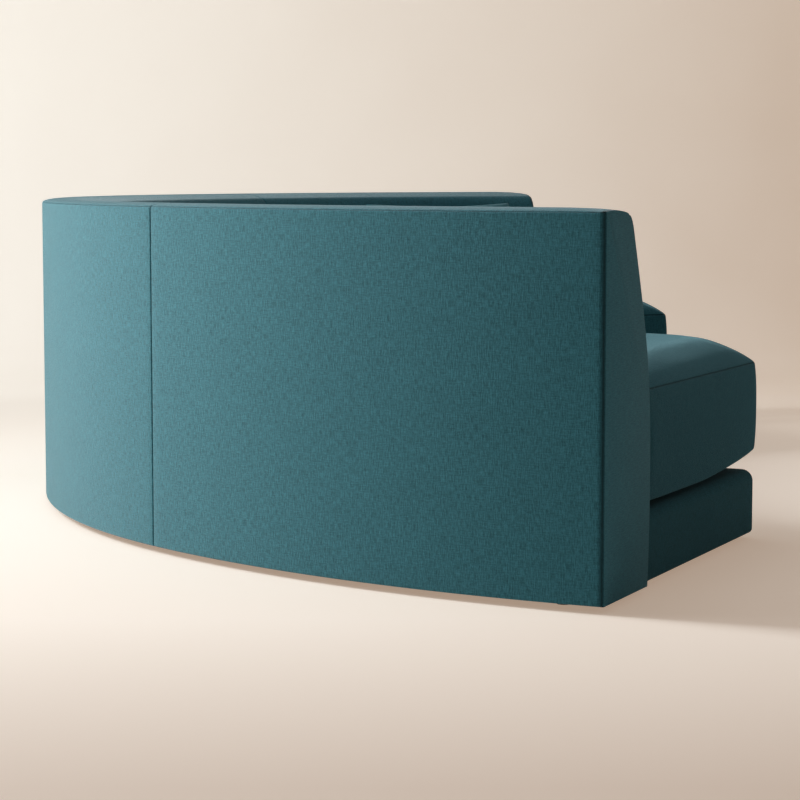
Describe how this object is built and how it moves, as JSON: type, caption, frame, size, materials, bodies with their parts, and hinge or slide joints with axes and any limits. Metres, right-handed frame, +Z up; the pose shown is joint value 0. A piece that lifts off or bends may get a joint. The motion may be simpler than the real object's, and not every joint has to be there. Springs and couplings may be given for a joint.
{
  "type": "curved modular sofa",
  "caption": "Curved low-back sofa in joined modules, fully upholstered, with crowned loose seat cushions on a recessed plinth, end panels and lumbar pillows.",
  "frame": {"origin": "on the floor under the middle of the sofa's bounding box", "axes": "+Z up, -Y toward the front where people sit, +X to the right as seen from the front; the sofa is the same on both sides of X = 0"},
  "size_m": [3.703, 1.6974, 0.7489],
  "materials": {
    "upholstery": "teal slubbed linen weave over foam",
    "cushion_cover": "teal slubbed linen weave over a soft filling",
    "pillow_cover": "teal slubbed linen weave, knife edge",
    "plywood": "bare birch plywood",
    "dust_cloth": "black non-woven cloth",
    "glide_plastic": "moulded, matte",
    "bracket_steel": "zinc plated"
  },
  "bodies": {
    "root": {"back_padding_left": "upholstery", "outer_panel_left": "upholstery", "rib_1_left": "plywood", "rib_2_left": "plywood", "rib_3_left": "plywood", "top_rail_left": "plywood", "rear_sill_left": "plywood", "front_sill_left": "plywood", "deck_left": "plywood", "dust_sheet_left": "dust_cloth", "plinth_cover_left": "upholstery", "glide_1_left": "glide_plastic", "glide_2_left": "glide_plastic", "glide_3_left": "glide_plastic", "glide_4_left": "glide_plastic", "back_padding_center": "upholstery", "outer_panel_center": "upholstery", "rib_1_center": "plywood", "rib_2_center": "plywood", "rib_3_center": "plywood", "rib_4_center": "plywood", "rib_5_center": "plywood", "top_rail_center": "plywood", "rear_sill_center": "plywood", "front_sill_center": "plywood", "deck_center": "plywood", "dust_sheet_center": "dust_cloth", "plinth_cover_center": "upholstery", "glide_1_center": "glide_plastic", "glide_2_center": "glide_plastic", "glide_3_center": "glide_plastic", "glide_4_center": "glide_plastic", "back_padding_right": "upholstery", "outer_panel_right": "upholstery", "rib_1_right": "plywood", "rib_2_right": "plywood", "rib_3_right": "plywood", "top_rail_right": "plywood", "rear_sill_right": "plywood", "front_sill_right": "plywood", "deck_right": "plywood", "dust_sheet_right": "dust_cloth", "plinth_cover_right": "upholstery", "glide_1_right": "glide_plastic", "glide_2_right": "glide_plastic", "glide_3_right": "glide_plastic", "glide_4_right": "glide_plastic", "end_panel_left": "upholstery", "bracket_tongue_left": "bracket_steel", "bracket_catch_left": "bracket_steel", "end_panel_right": "upholstery", "bracket_tongue_right": "bracket_steel", "bracket_catch_right": "bracket_steel"},
    "seat_left": {"seat_cushion_left": "cushion_cover"},
    "seat_center": {"seat_cushion_center": "cushion_cover"},
    "seat_right": {"seat_cushion_right": "cushion_cover"},
    "pillow_left": {"lumbar_pillow_left": "pillow_cover"},
    "pillow_right": {"lumbar_pillow_right": "pillow_cover"}
  },
  "joints": [
    {"name": "seat_left_lift", "type": "slide", "parent": "root", "child": "seat_left", "axis": [0, 0, 1], "range_m": [0, 0.3]},
    {"name": "seat_center_lift", "type": "slide", "parent": "root", "child": "seat_center", "axis": [0, 0, 1], "range_m": [0, 0.3]},
    {"name": "seat_right_lift", "type": "slide", "parent": "root", "child": "seat_right", "axis": [0, 0, 1], "range_m": [0, 0.3]},
    {"name": "pillow_left_lift", "type": "slide", "parent": "seat_left", "child": "pillow_left", "axis": [0, 0, 1], "range_m": [0, 0.3]},
    {"name": "pillow_right_lift", "type": "slide", "parent": "seat_right", "child": "pillow_right", "axis": [0, 0, 1], "range_m": [0, 0.3]}
  ]
}
